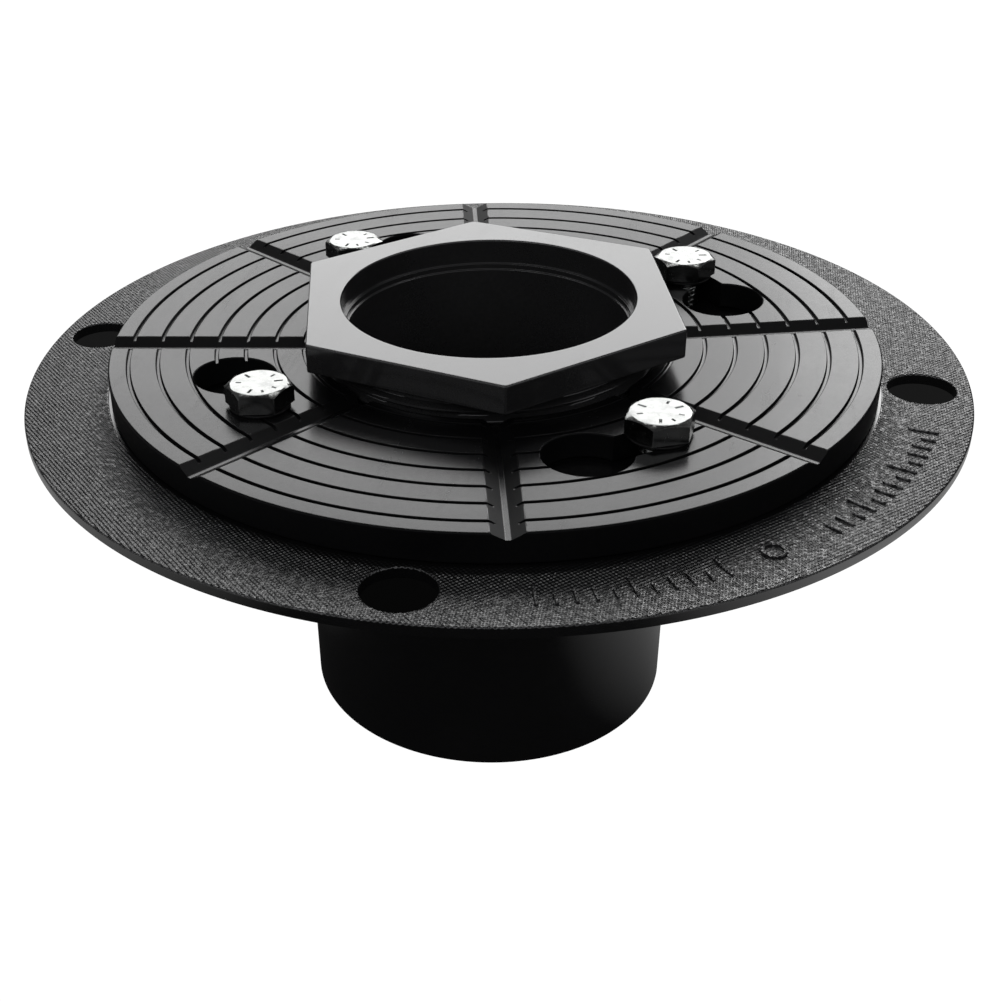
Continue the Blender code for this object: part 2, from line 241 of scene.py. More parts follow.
def combine(target, tools, operation):
    """One exact boolean of all the tools with the target, applied."""
    group = bpy.data.collections.new("tools")
    bpy.context.scene.collection.children.link(group)
    for tool in tools:
        for owner in list(tool.users_collection):
            owner.objects.unlink(tool)
        group.objects.link(tool)
    mod = target.modifiers.new("cut", "BOOLEAN")
    mod.operation = operation
    mod.operand_type = "COLLECTION"
    mod.collection = group
    mod.solver = "EXACT"
    deps = bpy.context.evaluated_depsgraph_get()
    mesh = bpy.data.meshes.new_from_object(target.evaluated_get(deps))
    target.modifiers.remove(mod)
    old = target.data
    target.data = mesh
    bpy.data.meshes.remove(old)
    for tool in tools:
        bpy.data.objects.remove(tool, do_unlink=True)
    bpy.data.collections.remove(group)
    return target


def tidy(obj, sharp=38.0, weighted=True):
    """Welds, removes slivers, shades smooth between its sharp edges, and lets
    the large faces set the shading beside each rounded edge."""
    bm = bmesh.new()
    bm.from_mesh(obj.data)
    bmesh.ops.remove_doubles(bm, verts=bm.verts, dist=2e-6)
    bmesh.ops.dissolve_degenerate(bm, edges=bm.edges, dist=1e-6)
    loose = [v for v in bm.verts if not v.link_faces]
    bmesh.ops.delete(bm, geom=loose, context="VERTS")
    open_edges = sum(1 for e in bm.edges if len(e.link_faces) != 2)
    if open_edges:
        print("open or crowded edges on", obj.name, open_edges)
    bm.to_mesh(obj.data)
    bm.free()
    obj.data.shade_smooth()
    obj.data.set_sharp_from_angle(angle=math.radians(sharp))
    if weighted:
        mod = obj.modifiers.new("normals", "WEIGHTED_NORMAL")
        mod.mode = "FACE_AREA"
        mod.weight = 60
        mod.keep_sharp = True
    return obj


def piece(obj, body, slot, material, *nodes):
    obj.data.materials.clear()
    obj.data.materials.append(material)
    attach(obj, body)
    if nodes:
        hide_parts(*nodes)
    return obj


# ---------------------------------------------------------------- materials
def new_material(name):
    mat = bpy.data.materials.new(name)
    mat.use_nodes = True
    tree = mat.node_tree
    return mat, tree, tree.nodes["Principled BSDF"]


def node(tree, kind, **values):
    n = tree.nodes.new(kind)
    for key, value in values.items():
        if key in n.inputs:
            n.inputs[key].default_value = value
        else:
            setattr(n, key, value)
    return n


def math_node(tree, operation, a, b=None, c=None, clamp=False):
    n = tree.nodes.new("ShaderNodeMath")
    n.operation = operation
    n.use_clamp = clamp
    for i, v in enumerate((a, b, c)):
        if v is None:
            continue
        if isinstance(v, (int, float)):
            n.inputs[i].default_value = v
        else:
            tree.links.new(v, n.inputs[i])
    return n.outputs[0]


def noise(tree, coords, scale, detail=3.0, rough=0.55, stretch=None, distortion=0.0):
    vec = coords
    if stretch:
        m = node(tree, "ShaderNodeMapping")
        m.inputs["Scale"].default_value = stretch
        tree.links.new(coords, m.inputs["Vector"])
        vec = m.outputs["Vector"]
    n = node(tree, "ShaderNodeTexNoise")
    n.inputs["Scale"].default_value = scale
    n.inputs["Detail"].default_value = detail
    n.inputs["Roughness"].default_value = rough
    n.inputs["Distortion"].default_value = distortion
    tree.links.new(vec, n.inputs["Vector"])
    return n.outputs["Fac"]


def spread(tree, value, low, high, lo_in=0.3, hi_in=0.7):
    n = node(tree, "ShaderNodeMapRange")
    n.inputs["From Min"].default_value = lo_in
    n.inputs["From Max"].default_value = hi_in
    n.inputs["To Min"].default_value = low
    n.inputs["To Max"].default_value = high
    tree.links.new(value, n.inputs["Value"])
    return n.outputs["Result"]


def tint(tree, value, dark, light):
    n = node(tree, "ShaderNodeMix", data_type="RGBA")
    n.inputs["A"].default_value = (*dark, 1.0)
    n.inputs["B"].default_value = (*light, 1.0)
    tree.links.new(value, n.inputs["Factor"])
    return n.outputs["Result"]


def bump(tree, height, distance, strength=1.0, under=None):
    n = node(tree, "ShaderNodeBump")
    n.inputs["Strength"].default_value = strength
    n.inputs["Distance"].default_value = distance
    tree.links.new(height, n.inputs["Height"])
    if under is not None:
        tree.links.new(under, n.inputs["Normal"])
    return n.outputs["Normal"]


def moulded_black(name, dark, light, rough, specular, peel, scratch=0.02, grain=None, matte_walls=False):
    """Black moulded plastic: faint orange peel, fine scuffs that change the
    gloss, dust-grey variation, and where asked a fine knobbly moulded grain."""
    mat, tree, bsdf = new_material(name)
    coords = node(tree, "ShaderNodeTexCoord").outputs["Object"]
    broad = noise(tree, coords, 38.0, 4.0)
    fine = noise(tree, coords, 900.0, 3.0)
    streak = noise(tree, coords, 260.0, 5.0, 0.7, stretch=(1.0, 0.08, 1.0), distortion=0.4)
    mix = math_node(tree, "ADD", math_node(tree, "MULTIPLY", broad, 0.6), math_node(tree, "MULTIPLY", fine, 0.4))
    tree.links.new(tint(tree, spread(tree, mix, 0.0, 1.0), dark, light), bsdf.inputs["Base Color"])
    r = spread(tree, mix, rough[0], rough[1])
    r = math_node(tree, "ADD", r, spread(tree, streak, 0.0, scratch, 0.55, 0.75))
    normal = bump(tree, noise(tree, coords, 420.0, 2.0), peel * MM)
    normal = bump(tree, noise(tree, coords, 2600.0, 2.0), peel * 0.22 * MM, under=normal)
    if grain:
        pitch, depth, r_in = grain
        sep = node(tree, "ShaderNodeSeparateXYZ")
        tree.links.new(coords, sep.inputs[0])
        x, y, z = sep.outputs
        radius = math_node(tree, "SQRT", math_node(tree, "ADD", math_node(tree, "MULTIPLY", x, x),
                                                   math_node(tree, "MULTIPLY", y, y)))
        on_face = math_node(tree, "MULTIPLY", spread(tree, z, 0.0, 1.0, (TOP - 0.32) * MM, (TOP - 0.05) * MM),
                            spread(tree, radius, 0.0, 1.0, (r_in - 0.1) * MM, (r_in + 0.4) * MM))
        k = 2 * math.pi / (pitch * MM)
        wob = math_node(tree, "MULTIPLY", noise(tree, coords, 700.0, 1.0), 1.1)
        a = math_node(tree, "SINE", math_node(tree, "ADD", math_node(tree, "MULTIPLY", x, k), wob))
        b = math_node(tree, "SINE", math_node(tree, "ADD", math_node(tree, "MULTIPLY", y, k), wob))
        knobs = math_node(tree, "MULTIPLY", a, b)
        uneven = spread(tree, noise(tree, coords, 1100.0, 1.0), 0.45, 1.35)
        height = math_node(tree, "MULTIPLY", math_node(tree, "MULTIPLY", knobs, uneven), on_face)
        normal = bump(tree, height, depth * MM, under=normal)
        r = math_node(tree, "ADD", r, math_node(tree, "MULTIPLY", on_face, 0.06))
    if matte_walls:
        # spark-eroded mould walls come out duller than the polished faces
        facing = node(tree, "ShaderNodeSeparateXYZ")
        tree.links.new(node(tree, "ShaderNodeNewGeometry").outputs["Normal"], facing.inputs[0])
        flat = spread(tree, facing.outputs[2], 0.0, 1.0, 0.91, 0.98)
        r = math_node(tree, "ADD", r, math_node(tree, "MULTIPLY", math_node(tree, "SUBTRACT", 1.0, flat), 0.22))
        tree.links.new(spread(tree, flat, specular * 0.3, specular), bsdf.inputs["Specular IOR Level"])
    tree.links.new(r, bsdf.inputs["Roughness"])
    tree.links.new(normal, bsdf.inputs["Normal"])
    if not matte_walls:
        bsdf.inputs["Specular IOR Level"].default_value = specular
    bsdf.inputs["IOR"].default_value = 1.54 if grain else 1.5
    return mat


def metal(name, dark, light, rough, lines, grain_scale=700.0):
    mat, tree, bsdf = new_material(name)
    coords = node(tree, "ShaderNodeTexCoord").outputs["Object"]
    blotch = noise(tree, coords, 320.0, 4.0)
    fine = noise(tree, coords, grain_scale, 4.0, 0.6, stretch=lines)
    tree.links.new(tint(tree, spread(tree, blotch, 0.0, 1.0), dark, light), bsdf.inputs["Base Color"])
    tree.links.new(spread(tree, fine, rough[0], rough[1]), bsdf.inputs["Roughness"])
    normal = bump(tree, fine, 0.012 * MM)
    normal = bump(tree, blotch, 0.02 * MM, under=normal)
    tree.links.new(normal, bsdf.inputs["Normal"])
    bsdf.inputs["Metallic"].default_value = 1.0
    return mat


ABS_TEXTURED = moulded_black("black_abs_grained", (0.005, 0.005, 0.0053), (0.009, 0.009, 0.0096),
                             (0.18, 0.27), 1.0, 0.006, grain=(1.14, 0.10, 87.7))
ABS_RING = moulded_black("black_abs_ring", (0.004, 0.004, 0.0043), (0.007, 0.007, 0.0075),
                         (0.20, 0.28), 0.37, 0.004, 0.05, matte_walls=True)
ABS_COLLAR = moulded_black("black_abs_collar", (0.022, 0.022, 0.0222), (0.034, 0.034, 0.0345),
                           (0.12, 0.19), 0.90, 0.003, 0.05)
RUBBER = moulded_black("black_rubber", (0.010, 0.010, 0.010), (0.018, 0.018, 0.018), (0.55, 0.7), 0.4, 0.01)
NYLON = moulded_black("black_nylon", (0.008, 0.008, 0.008), (0.013, 0.013, 0.013), (0.38, 0.5), 0.4, 0.005)
STEEL = metal("bright_zinc_steel", (0.26, 0.265, 0.26), (0.35, 0.355, 0.345), (0.15, 0.29), (1.0, 1.0, 1.0))
BRASS = metal("turned_brass", (0.58, 0.40, 0.16), (0.78, 0.60, 0.30), (0.22, 0.38), (1.0, 1.0, 0.1))


# ----------------------------------------------------------- cutting shapes
def flare(rho, steps=4, stop=80.0):
    """(how far out, how far up) along a rounded edge, from its foot to near its crown."""
    out = []
    for k in range(steps + 1):
        a = math.radians(stop) * k / steps
        out.append((rho * (1 - math.cos(a)), rho * math.sin(a)))
    a = math.radians(stop)
    out.append((out[-1][0] + 1.5 * math.sin(a), out[-1][1] + 1.5 * math.cos(a)))
    return out


def round_cutter(name, radius, at, z_face, rho, z_low, seg=96, low_face=None, low_rho=0.0, start=0.0):
    """Cuts a round hole down from z_face and rounds its rim, and its lower rim too if asked."""
    profile = [(0.01, z_face + 4.0), (radius + rho + 1.45, z_face + 4.0)]
    rim = flare(rho)
    profile += [(radius + d, z_face - rho + h) for d, h in reversed(rim)]
    if low_face is None:
        profile += [(radius, z_low)]
    else:
        rim = flare(low_rho)
        profile += [(radius + d, low_face + low_rho - h) for d, h in rim]
        profile += [(radius + low_rho + 1.45, z_low)]
    profile += [(0.01, z_low)]
    return solid_of_revolution(name, profile, seg, at, start)


def slot_outline(half, a0, a1, n_arc=14, n_cap=12):
    """A curved slot on the screws' circle, half its width to each side."""
    pts = []
    for k in range(n_arc + 1):
        pts.append(polar(BOLT_CIRCLE + half, a0 + (a1 - a0) * k / n_arc))
    cx, cy = polar(BOLT_CIRCLE, a1)
    for k in range(1, n_cap):
        a = math.radians(a1) + math.pi * k / n_cap
        pts.append((cx + half * math.cos(a), cy + half * math.sin(a)))
    for k in range(n_arc + 1):
        pts.append(polar(BOLT_CIRCLE - half, a1 + (a0 - a1) * k / n_arc))
    cx, cy = polar(BOLT_CIRCLE, a0)
    for k in range(1, n_cap):
        a = math.radians(a0) + math.pi + math.pi * k / n_cap
        pts.append((cx + half * math.cos(a), cy + half * math.sin(a)))
    return pts


def follow_cone(obj):
    """Shears a cutter so that its rim follows the ring's falling top."""
    for v in obj.data.vertices:
        r = math.hypot(v.co.x, v.co.y) / MM
        if v.co.z > (TOP + 2.0) * MM:
            v.co.z += (ring_top(r) - ring_top(BOLT_CIRCLE)) * MM
    return obj


# ------------------------------------------------------------- base flange
SEG = 384
profile = fillet([
    (THROAT_R, TOP - SEAT_DEPTH, 0.35),
    (SEAT_R, TOP - SEAT_DEPTH),
    (SEAT_R + 0.12, TOP, 0.05, 2),
    (FLANGE_R, TOP, 0.42, 5),
    (FLANGE_R, TOP - RIM_T, 0.4),
    (89.4, TOP - RIM_T, 1.0),
    (86.0, TOP - PLATE_T, 1.0),
    (HUB_R, TOP - PLATE_T, 2.4, 6),
    (HUB_R, TOP - THROAT_DEPTH - 1.5, 1.0),
    (SPIGOT_R_TOP, TOP - THROAT_DEPTH - 5.5, 1.5, 5),
    (SPIGOT_R_BOTTOM, 0.0, 0.9, 5),
    (SPIGOT_BORE_R_BOTTOM, 0.0, 0.6),
    (SPIGOT_BORE_R, TOP - THROAT_DEPTH - 1.2, 0.4),
    (SPIGOT_BORE_R + 1.2, TOP - THROAT_DEPTH, 0.3),
    (THROAT_R, TOP - THROAT_DEPTH, 0.5),
])
base = turned("base_flange_moulding", split_long(profile, 9.0), SEG)

additions = []
for _, angle, _ in BOLTS:
    at = polar(BOLT_CIRCLE, angle)
    boss = fillet([(0.01, TOP - 1.2), (11.2, TOP - 1.2), (11.2, TOP - PLATE_T - 0.02), (9.45, TOP - PLATE_T - 0.05, 1.5, 5),
                   (9.0, TOP - 16.0, 0.6), (0.01, TOP - 16.0)])
    additions.append(solid_of_revolution("boss", boss, 64, at))
for i in range(8):
    # webs that taper from the throat's wall to under the ring's edge
    r0, r1 = HUB_R - 1.2, 84.0
    top, deep, shallow = TOP - 1.3, TOP - 10.2, TOP - 4.3
    stations = []
    for k in range(9):
        u = r0 + (r1 - r0) * k / 8
        low = deep + (shallow - deep) * k / 8
        w, e = 1.3, 0.45
        if k == 8:
            w, e = 1.2, 0.4
        section = [(-w - 0.12, top), (-w, low + e), (-w + e * 0.3, low + e * 0.3), (-w + e, low),
                   (w - e, low), (w - e * 0.3, low + e * 0.3), (w, low + e), (w + 0.12, top)]
        stations.append([(u, v, h) for v, h in section])
    web = loops_object("web", stations, close_profile=False, caps=True)
    additions.append(spun(web, 45.0 * i))

# raised graduation marks in place of moulded wording
marks = []
for first, last, step in ((-12.0, -41.0, 2.1), (-54.5, -77.5, 2.1)):
    count = int(abs(last - first) / step)
    for k in range(count + 1):
        a = first - step * k
        marks.append((a, 94.0 if k % 5 == 0 else 96.0 if k % 5 in (2, 3) else 97.2, 100.2))
for a, r0, r1 in marks:
    loops = []
    for inset, z in ((0.0, TOP - 0.35), (0.0, TOP + 0.16), (0.05, TOP + 0.24), (0.14, TOP + 0.4)):
        half = 0.36 - inset
        ring = []
        for k in range(9):
            t = -math.pi / 2 + math.pi * k / 8
            ring.append((r1 - 0.36 + half * math.cos(t), half * math.sin(t), z))
        for k in range(9):
            t = math.pi / 2 + math.pi * k / 8
            ring.append((r0 + 0.36 + half * math.cos(t), half * math.sin(t), z))
        loops.append(ring)
    additions.append(spun(loops_object("mark", loops, close_profile=False, caps=True), a))
# a plain raised ring between the two groups of marks
ring_mark = fillet([(1.75, TOP - 0.35), (1.75, TOP + 0.4, 0.1, 2), (2.55, TOP + 0.4, 0.1, 2), (2.55, TOP - 0.35)])
additions.append(turned("ring_mark", ring_mark, 48, polar(97.2, -47.8)))
combine(base, additions, "UNION")

cuts = []
for _, angle, _ in BOLTS:
    at = polar(BOLT_CIRCLE, angle)
    hole = [(0.01, TOP + 3.0), (4.5, TOP + 3.0), (4.5, TOP - PLATE_T), (6.05, TOP - PLATE_T),
            (6.05, TOP - 16.0 + 0.4), (7.6, TOP - 16.0 - 1.15), (0.01, TOP - 16.0 - 1.15)]
    cuts.append(solid_of_revolution("bolt_hole", hole, 64, at))
for angle in (0.0, 90.0, 180.0, 270.0):
    cuts.append(round_cutter("fixing_hole", FIX_HOLE_R, polar(FIX_HOLE_CIRCLE, angle), TOP, 0.4,
                             TOP - RIM_T - 3.0, low_face=TOP - RIM_T, low_rho=0.3, start=angle))
combine(base, cuts, "DIFFERENCE")
tidy(base)
piece(base, "base", "abs_textured", ABS_TEXTURED, "base_flange")

# ------------------------------------------------------------ clamping ring
outer = [(RING_THREAD_CREST, ring_top(RING_THREAD_CREST), 1.5, 6)]
for k in reversed(range(GROOVES)):
    r = GROOVE_R0 - GROOVE_STEP * k
    h = GROOVE_W / 2
    outer += [(r - h, ring_top(r - h), 0.2, 4), (r - h + 0.04, ring_top(r) - GROOVE_D, 0.16, 3),
              (r + h - 0.04, ring_top(r) - GROOVE_D, 0.16, 3), (r + h, ring_top(r + h), 0.2, 4)]
outer += [
    (RING_R, RING_H, 0.45, 5),
    (RING_R, 0.3, 0.3),
    (RING_SLEEVE_R, 0.3, 0.3),
    (RING_SLEEVE_R - 0.1, -RING_SLEEVE_DEPTH, 0.8),
    (RING_THREAD_CREST + 1.0, -RING_SLEEVE_DEPTH, 0.3),
    (RING_THREAD_CREST + 0.1, -RING_SLEEVE_DEPTH + 0.9, 0.2),
    (RING_THREAD_CREST, 4.2),
]
rounded = fillet(outer)
# the last two profile points are joined by the thread
wall_top = rounded[-1]
rounded = rounded[:-1]
loops = [l for l in turned_loops(split_long([(r, z) for r, z in rounded], 1e9), SEG)]
thread = helical_wall(RING_THREAD_CREST, RING_THREAD_ROOT, rounded[-1][1] + 0.3, 4.2, COLLAR_PITCH, SEG)
loops = np.array(loops + thread)
loops[..., 2] += TOP
ring = loops_object("clamp_ring_moulding", loops)

cuts = []
for i in range(8):
    # channel section: flared rim, sloping walls, narrow rounded bottom
    w, d, rho = CHANNEL_W / 2, CHANNEL_D, 0.3
    wall = math.atan2(d, w - 0.55)
    side = []
    # the rim's arc starts along the wall's slope and ends near flat
    for k in range(5):
        a = math.radians(90.0) - wall + (math.radians(82.0) - (math.radians(90.0) - wall)) * k / 4
        side.append((w + rho * 0.4 - rho * (1 - math.sin(a)) * 0.9 + 0.02 * k, -rho * (1 - math.sin(a))))
    half = [(w + 3.0, 4.0), (w + 3.0, 0.30), (w + 0.55, 0.045), (w + 0.25, 0.0 - 0.008), (w + 0.08, -0.045),
            (w - 0.08, -0.115)]
    foot = fillet([half[-1], (0.5, -d, 0.9, 6), (-0.5, -d, 0.9, 6), (-half[-1][0], half[-1][1])])
    section = half[:-1] + foot + [(-v, h) for v, h in reversed(half[:-1])]
    stations = []
    for u in (34.0, 40.0, 46.0, 54.0, 62.0, 70.0, 78.0, 86.0, 92.0):
        stations.append([(u, v, TOP + ring_top(u) + h) for v, h in section])
    tool = loops_object("channel", stations, close_profile=False, caps=True)
    cuts.append(spun(tool, 45.0 * i + 0.011 * (i + 1)))
face = TOP + ring_top(BOLT_CIRCLE)
for i in range(4):
    a = 90.0 * i + KEYHOLE_ANGLE
    cuts.append(follow_cone(round_cutter("keyhole", KEYHOLE_R, polar(BOLT_CIRCLE, a), face, 0.38, TOP - 4.0,
                                         low_face=TOP + 0.3, low_rho=0.25)))
    sections = []
    rim = flare(0.38)
    a0, a1 = 90.0 * i + KEYHOLE_ANGLE + 2.0, 90.0 * i + SLOT_END
    sections.append((slot_outline(SLOT_R, a0, a1), TOP - 4.0))
    sections += [(slot_outline(SLOT_R + d, a0, a1), face - 0.38 + h) for d, h in rim]
    sections.append((slot_outline(SLOT_R + rim[-1][0], a0, a1), face + 4.0))
    cuts.append(follow_cone(prism("slot", sections)))
combine(ring, cuts, "DIFFERENCE")
spun(ring, RING_ANGLE)
tidy(ring)
piece(ring, "clamp_ring", "abs_ring", ABS_RING, "clamp_ring")

# --------------------------------------------------------------- hex collar
CORNER_STEPS, SIDE_STEPS = 6, 36
APOTHEM = HEX_CORNER_R * math.cos(math.pi / 6)


def hex_ring(inset, corner=0.9):
    """A hexagon with rounded corners, inset from its outer size."""
    pts = []
    c = corner - inset
    for s in range(6):
        a = math.radians(60.0 * s)
        reach = (APOTHEM - corner) / math.cos(math.pi / 6)
        centre = np.array([reach * math.cos(a), reach * math.sin(a)])
        arc = []
        for k in range(CORNER_STEPS + 1):
            t = a + math.radians(-30.0 + 60.0 * k / CORNER_STEPS)
            arc.append(centre + c * np.array([math.cos(t), math.sin(t)]))
        pts += arc
        t = a + math.radians(30.0)
        nxt = a + math.radians(60.0)
        centre2 = np.array([reach * math.cos(nxt), reach * math.sin(nxt)])
        end = centre2 + c * np.array([math.cos(t), math.sin(t)])
        for k in range(1, SIDE_STEPS):
            pts.append(arc[-1] + (end - arc[-1]) * k / SIDE_STEPS)
    return np.array(pts)


outline = hex_ring(0.0)
theta = np.arctan2(outline[:, 1], outline[:, 0])


def round_loop(r, z):
    rr = np.broadcast_to(r, theta.shape)
    return np.stack([rr * np.cos(theta), rr * np.sin(theta), np.full(theta.shape, z)], -1)


def hex_loop(inset, z):
    p = hex_ring(inset)
    return np.column_stack([p, np.full(len(p), z)])


def thread_loops(r_crest, r_root, z_from, z_to, pitch, rows=10, flat=0.2, fade=0.6):
    count = int(round(abs(z_to - z_from) / pitch * rows))
    out = []
    for k in range(count + 1):
        z = z_from + (z_to - z_from) * k / count
        u = (z / pitch - theta / (2 * math.pi)) % 1.0
        tooth = np.clip((np.abs(2 * u - 1) - flat) / (1 - 2 * flat), 0, 1)
        tooth = tooth * tooth * (3 - 2 * tooth) * 0.35 + tooth * 0.65
        strength = min(1.0, min(abs(z - z_from), abs(z - z_to)) / (fade * pitch))
        out.append(round_loop(r_root + (r_crest - r_root) * tooth * strength, z))
    return out


hex_low = HEX_TOP - HEX_T
loops = []
bore_edge = fillet([(COLLAR_BORE_R, HEX_TOP - 3.0), (COLLAR_BORE_R, HEX_TOP, 0.4, 4), (COLLAR_BORE_R + 3.0, HEX_TOP)])
loops += [round_loop(r, z) for r, z in bore_edge[1:-1]]
loops += [round_loop(COLLAR_BORE_R + 0.9, HEX_TOP)]
loops += [hex_loop(0.9, HEX_TOP)]
for k in range(6):
    a = math.radians(90.0 * k / 5)
    loops.append(hex_loop(0.42 - 0.42 * math.sin(a), HEX_TOP - 0.42 + 0.42 * math.cos(a)))
loops += [hex_loop(0.0, HEX_TOP - 0.9), hex_loop(0.0, hex_low + 0.9)]
for k in range(5):
    a = math.radians(90.0 * k / 4)
    loops.append(hex_loop(0.4 - 0.4 * math.cos(a), hex_low + 0.4 - 0.4 * math.sin(a)))
loops += [hex_loop(0.85, hex_low)]
neck = fillet([(SHANK_MINOR + 3.0, hex_low), (SHANK_MINOR, hex_low, 0.5, 4), (SHANK_MINOR, hex_low - 1.4)])
loops += [round_loop(r, z) for r, z in neck[1:]]
loops += thread_loops(SHANK_MAJOR, SHANK_MINOR, hex_low - 1.7, -20.5, COLLAR_PITCH)
cord = SEAL_CORD_R
foot = fillet([(SHANK_MINOR, -20.6), (SHANK_MINOR, -21.5, 0.3), (38.1, -22.0, 0.3), (38.1, SEAL_Z + cord + 0.35, 0.25),
               (SEAL_R - cord - 0.2, SEAL_Z + cord + 0.35, 0.4), (SEAL_R - cord - 0.2, SEAL_Z - cord - 0.35, 0.4),
               (38.1, SEAL_Z - cord - 0.35, 0.2), (37.3, SHANK_BOTTOM, 0.3), (COLLAR_BORE_R - 1.2 + 0.6, SHANK_BOTTOM, 0.2),
               (32.2, SHANK_BOTTOM + 0.6, 0.2)])
loops += [round_loop(r, z) for r, z in foot]
inside = fillet([(32.2, SHANK_BOTTOM + 0.6), (32.2, HEX_TOP - LEDGE_DEPTH - 1.3, 0.2), (32.7, HEX_TOP - LEDGE_DEPTH - 1.3, 0.15),
                 (32.7, HEX_TOP - LEDGE_DEPTH, 0.1), (COLLAR_BORE_R, HEX_TOP - LEDGE_DEPTH, 0.1), (COLLAR_BORE_R, HEX_TOP - 0.9)])
for (r0, z0), (r1, z1) in zip(inside, inside[1:]):
    k = max(1, int(abs(z1 - z0) // 6))
    for j in range(1, k + 1):
        loops.append(round_loop(r0 + (r1 - r0) * j / k, z0 + (z1 - z0) * j / k))
loops = np.array(loops)
loops[..., 2] += TOP
collar = spun(loops_object("hex_collar_moulding", loops), HEX_ANGLE)
tidy(collar)
piece(collar, "collar", "abs_collar", ABS_COLLAR, "drain_collar")

# a moulded ring with the fine parting line round its outside
section = []
for k in range(36):
    a = 2 * math.pi * k / 36
    r = SEAL_CORD_R + (0.06 if k in (0, 18) else 0.0)
    section.append((SEAL_R + r * math.cos(a), TOP + SEAL_Z - r * math.sin(a)))
seal = turned("o_ring_seal", section, 192)
tidy(seal, 60.0)
piece(seal, "collar_seal", "seal_rubber", RUBBER, "collar_o_ring")

# ----------------------------------------------- screws, washers and inserts
seat = ring_top(BOLT_CIRCLE)


def bolt_hexagon(inset=0.0, corner=0.35, per_side=10, arc=4):
    a_len = BOLT_AF / 2
    pts = []
    reach = (a_len - corner) / math.cos(math.pi / 6)
    c = corner - inset
    for s in range(6):
        a = math.radians(60.0 * s)
        centre = np.array([reach * math.cos(a), reach * math.sin(a)])
        part = [centre + c * np.array([math.cos(a + math.radians(-30 + 60 * k / arc)),
                                       math.sin(a + math.radians(-30 + 60 * k / arc))]) for k in range(arc + 1)]
        pts += part
        t = a + math.radians(30.0)
        centre2 = np.array([reach * math.cos(a + math.radians(60)), reach * math.sin(a + math.radians(60))])
        end = centre2 + c * np.array([math.cos(t), math.sin(t)])
        pts += [part[-1] + (end - part[-1]) * k / per_side for k in range(1, per_side)]
    return np.array(pts)


def hex_screw(head_top, tip):
    """An M8 hexagon screw on the Z axis: chamfered head, washer face, plain
    neck, rolled thread and a chamfered end."""
    head_low = seat + 0.78
    hexo = bolt_hexagon()
    t = np.arctan2(hexo[:, 1], hexo[:, 0])
    rad = np.hypot(hexo[:, 0], hexo[:, 1])
    flat_r = BOLT_AF / 2 * 0.95

    def ring_at(r, z):
        return np.stack([r * np.cos(t), r * np.sin(t), np.full(t.shape, z)], -1)

    edge_z = head_top - 0.04 - np.maximum(0.0, (rad - flat_r) * math.tan(math.radians(30.0)))
    loops = [ring_at(1.6, head_top), ring_at(3.4, head_top), ring_at(5.2, head_top), ring_at(flat_r - 0.25, head_top),
             ring_at(flat_r, head_top - 0.04)]
    loops.append(np.column_stack([bolt_hexagon(0.1), edge_z + 0.03]))
    loops.append(np.column_stack([hexo * 0.997, edge_z - 0.03]))
    loops.append(np.column_stack([hexo, edge_z - 0.12]))
    loops.append(np.column_stack([hexo, np.full(len(t), head_low + 0.55)]))
    loops.append(np.column_stack([hexo, np.full(len(t), head_low + 0.32)]))
    loops.append(np.column_stack([bolt_hexagon(0.1), np.full(len(t), head_low + 0.22)]))
    loops += [ring_at(6.15, head_low + 0.2), ring_at(6.1, head_low), ring_at(4.2, head_low), ring_at(3.95, head_low - 0.25),
              ring_at(3.95, head_low - 1.6)]
    z0, z1 = head_low - 1.8, tip + 1.0
    rows = int(round((z0 - z1) / BOLT_PITCH * 9))
    for k in range(rows + 1):
        z = z0 + (z1 - z0) * k / rows
        u = (z / BOLT_PITCH - t / (2 * math.pi)) % 1.0
        tooth = np.clip((np.abs(2 * u - 1) - 0.12) / 0.76, 0, 1)
        strength = min(1.0, (z0 - z) / BOLT_PITCH, (z - z1) / (0.5 * BOLT_PITCH) + 0.2)
        loops.append(ring_at(3.95 - 0.67 * (1 - tooth) * max(strength, 0.0), z))
    loops += [ring_at(3.3, tip + 0.35), ring_at(2.9, tip), ring_at(1.2, tip)]
    screw = loops_object("hex_screw", np.array([l + [0, 0, TOP] for l in loops]), close_profile=False, caps=True)
    # plain stamped dashes in the head's top
    stamps = []
    for a, r0, r1, w in ((10, 3.3, 5.2, 0.32), (50, 3.6, 4.9, 0.28), (130, 3.3, 5.2, 0.32), (178, 3.7, 4.9, 0.28),
                         (250, 3.3, 5.2, 0.32), (286, 3.7, 4.9, 0.28), (325, 3.7, 4.9, 0.28)):
        z = TOP + head_top
        wedge = [[(r0 - e, -w * k, z + h), (r1 + e, -w * k, z + h), (r1 + e, w * k, z + h), (r0 - e, w * k, z + h)]
                 for k, e, h in ((0.12, -0.2, -0.34), (1.0, 0.0, 0.0), (1.6, 0.3, 0.4))]
        stamps.append(spun(loops_object("stamp", wedge, close_profile=False, caps=True), a))
    return tidy(combine(screw, stamps, "DIFFERENCE"), 24.0)


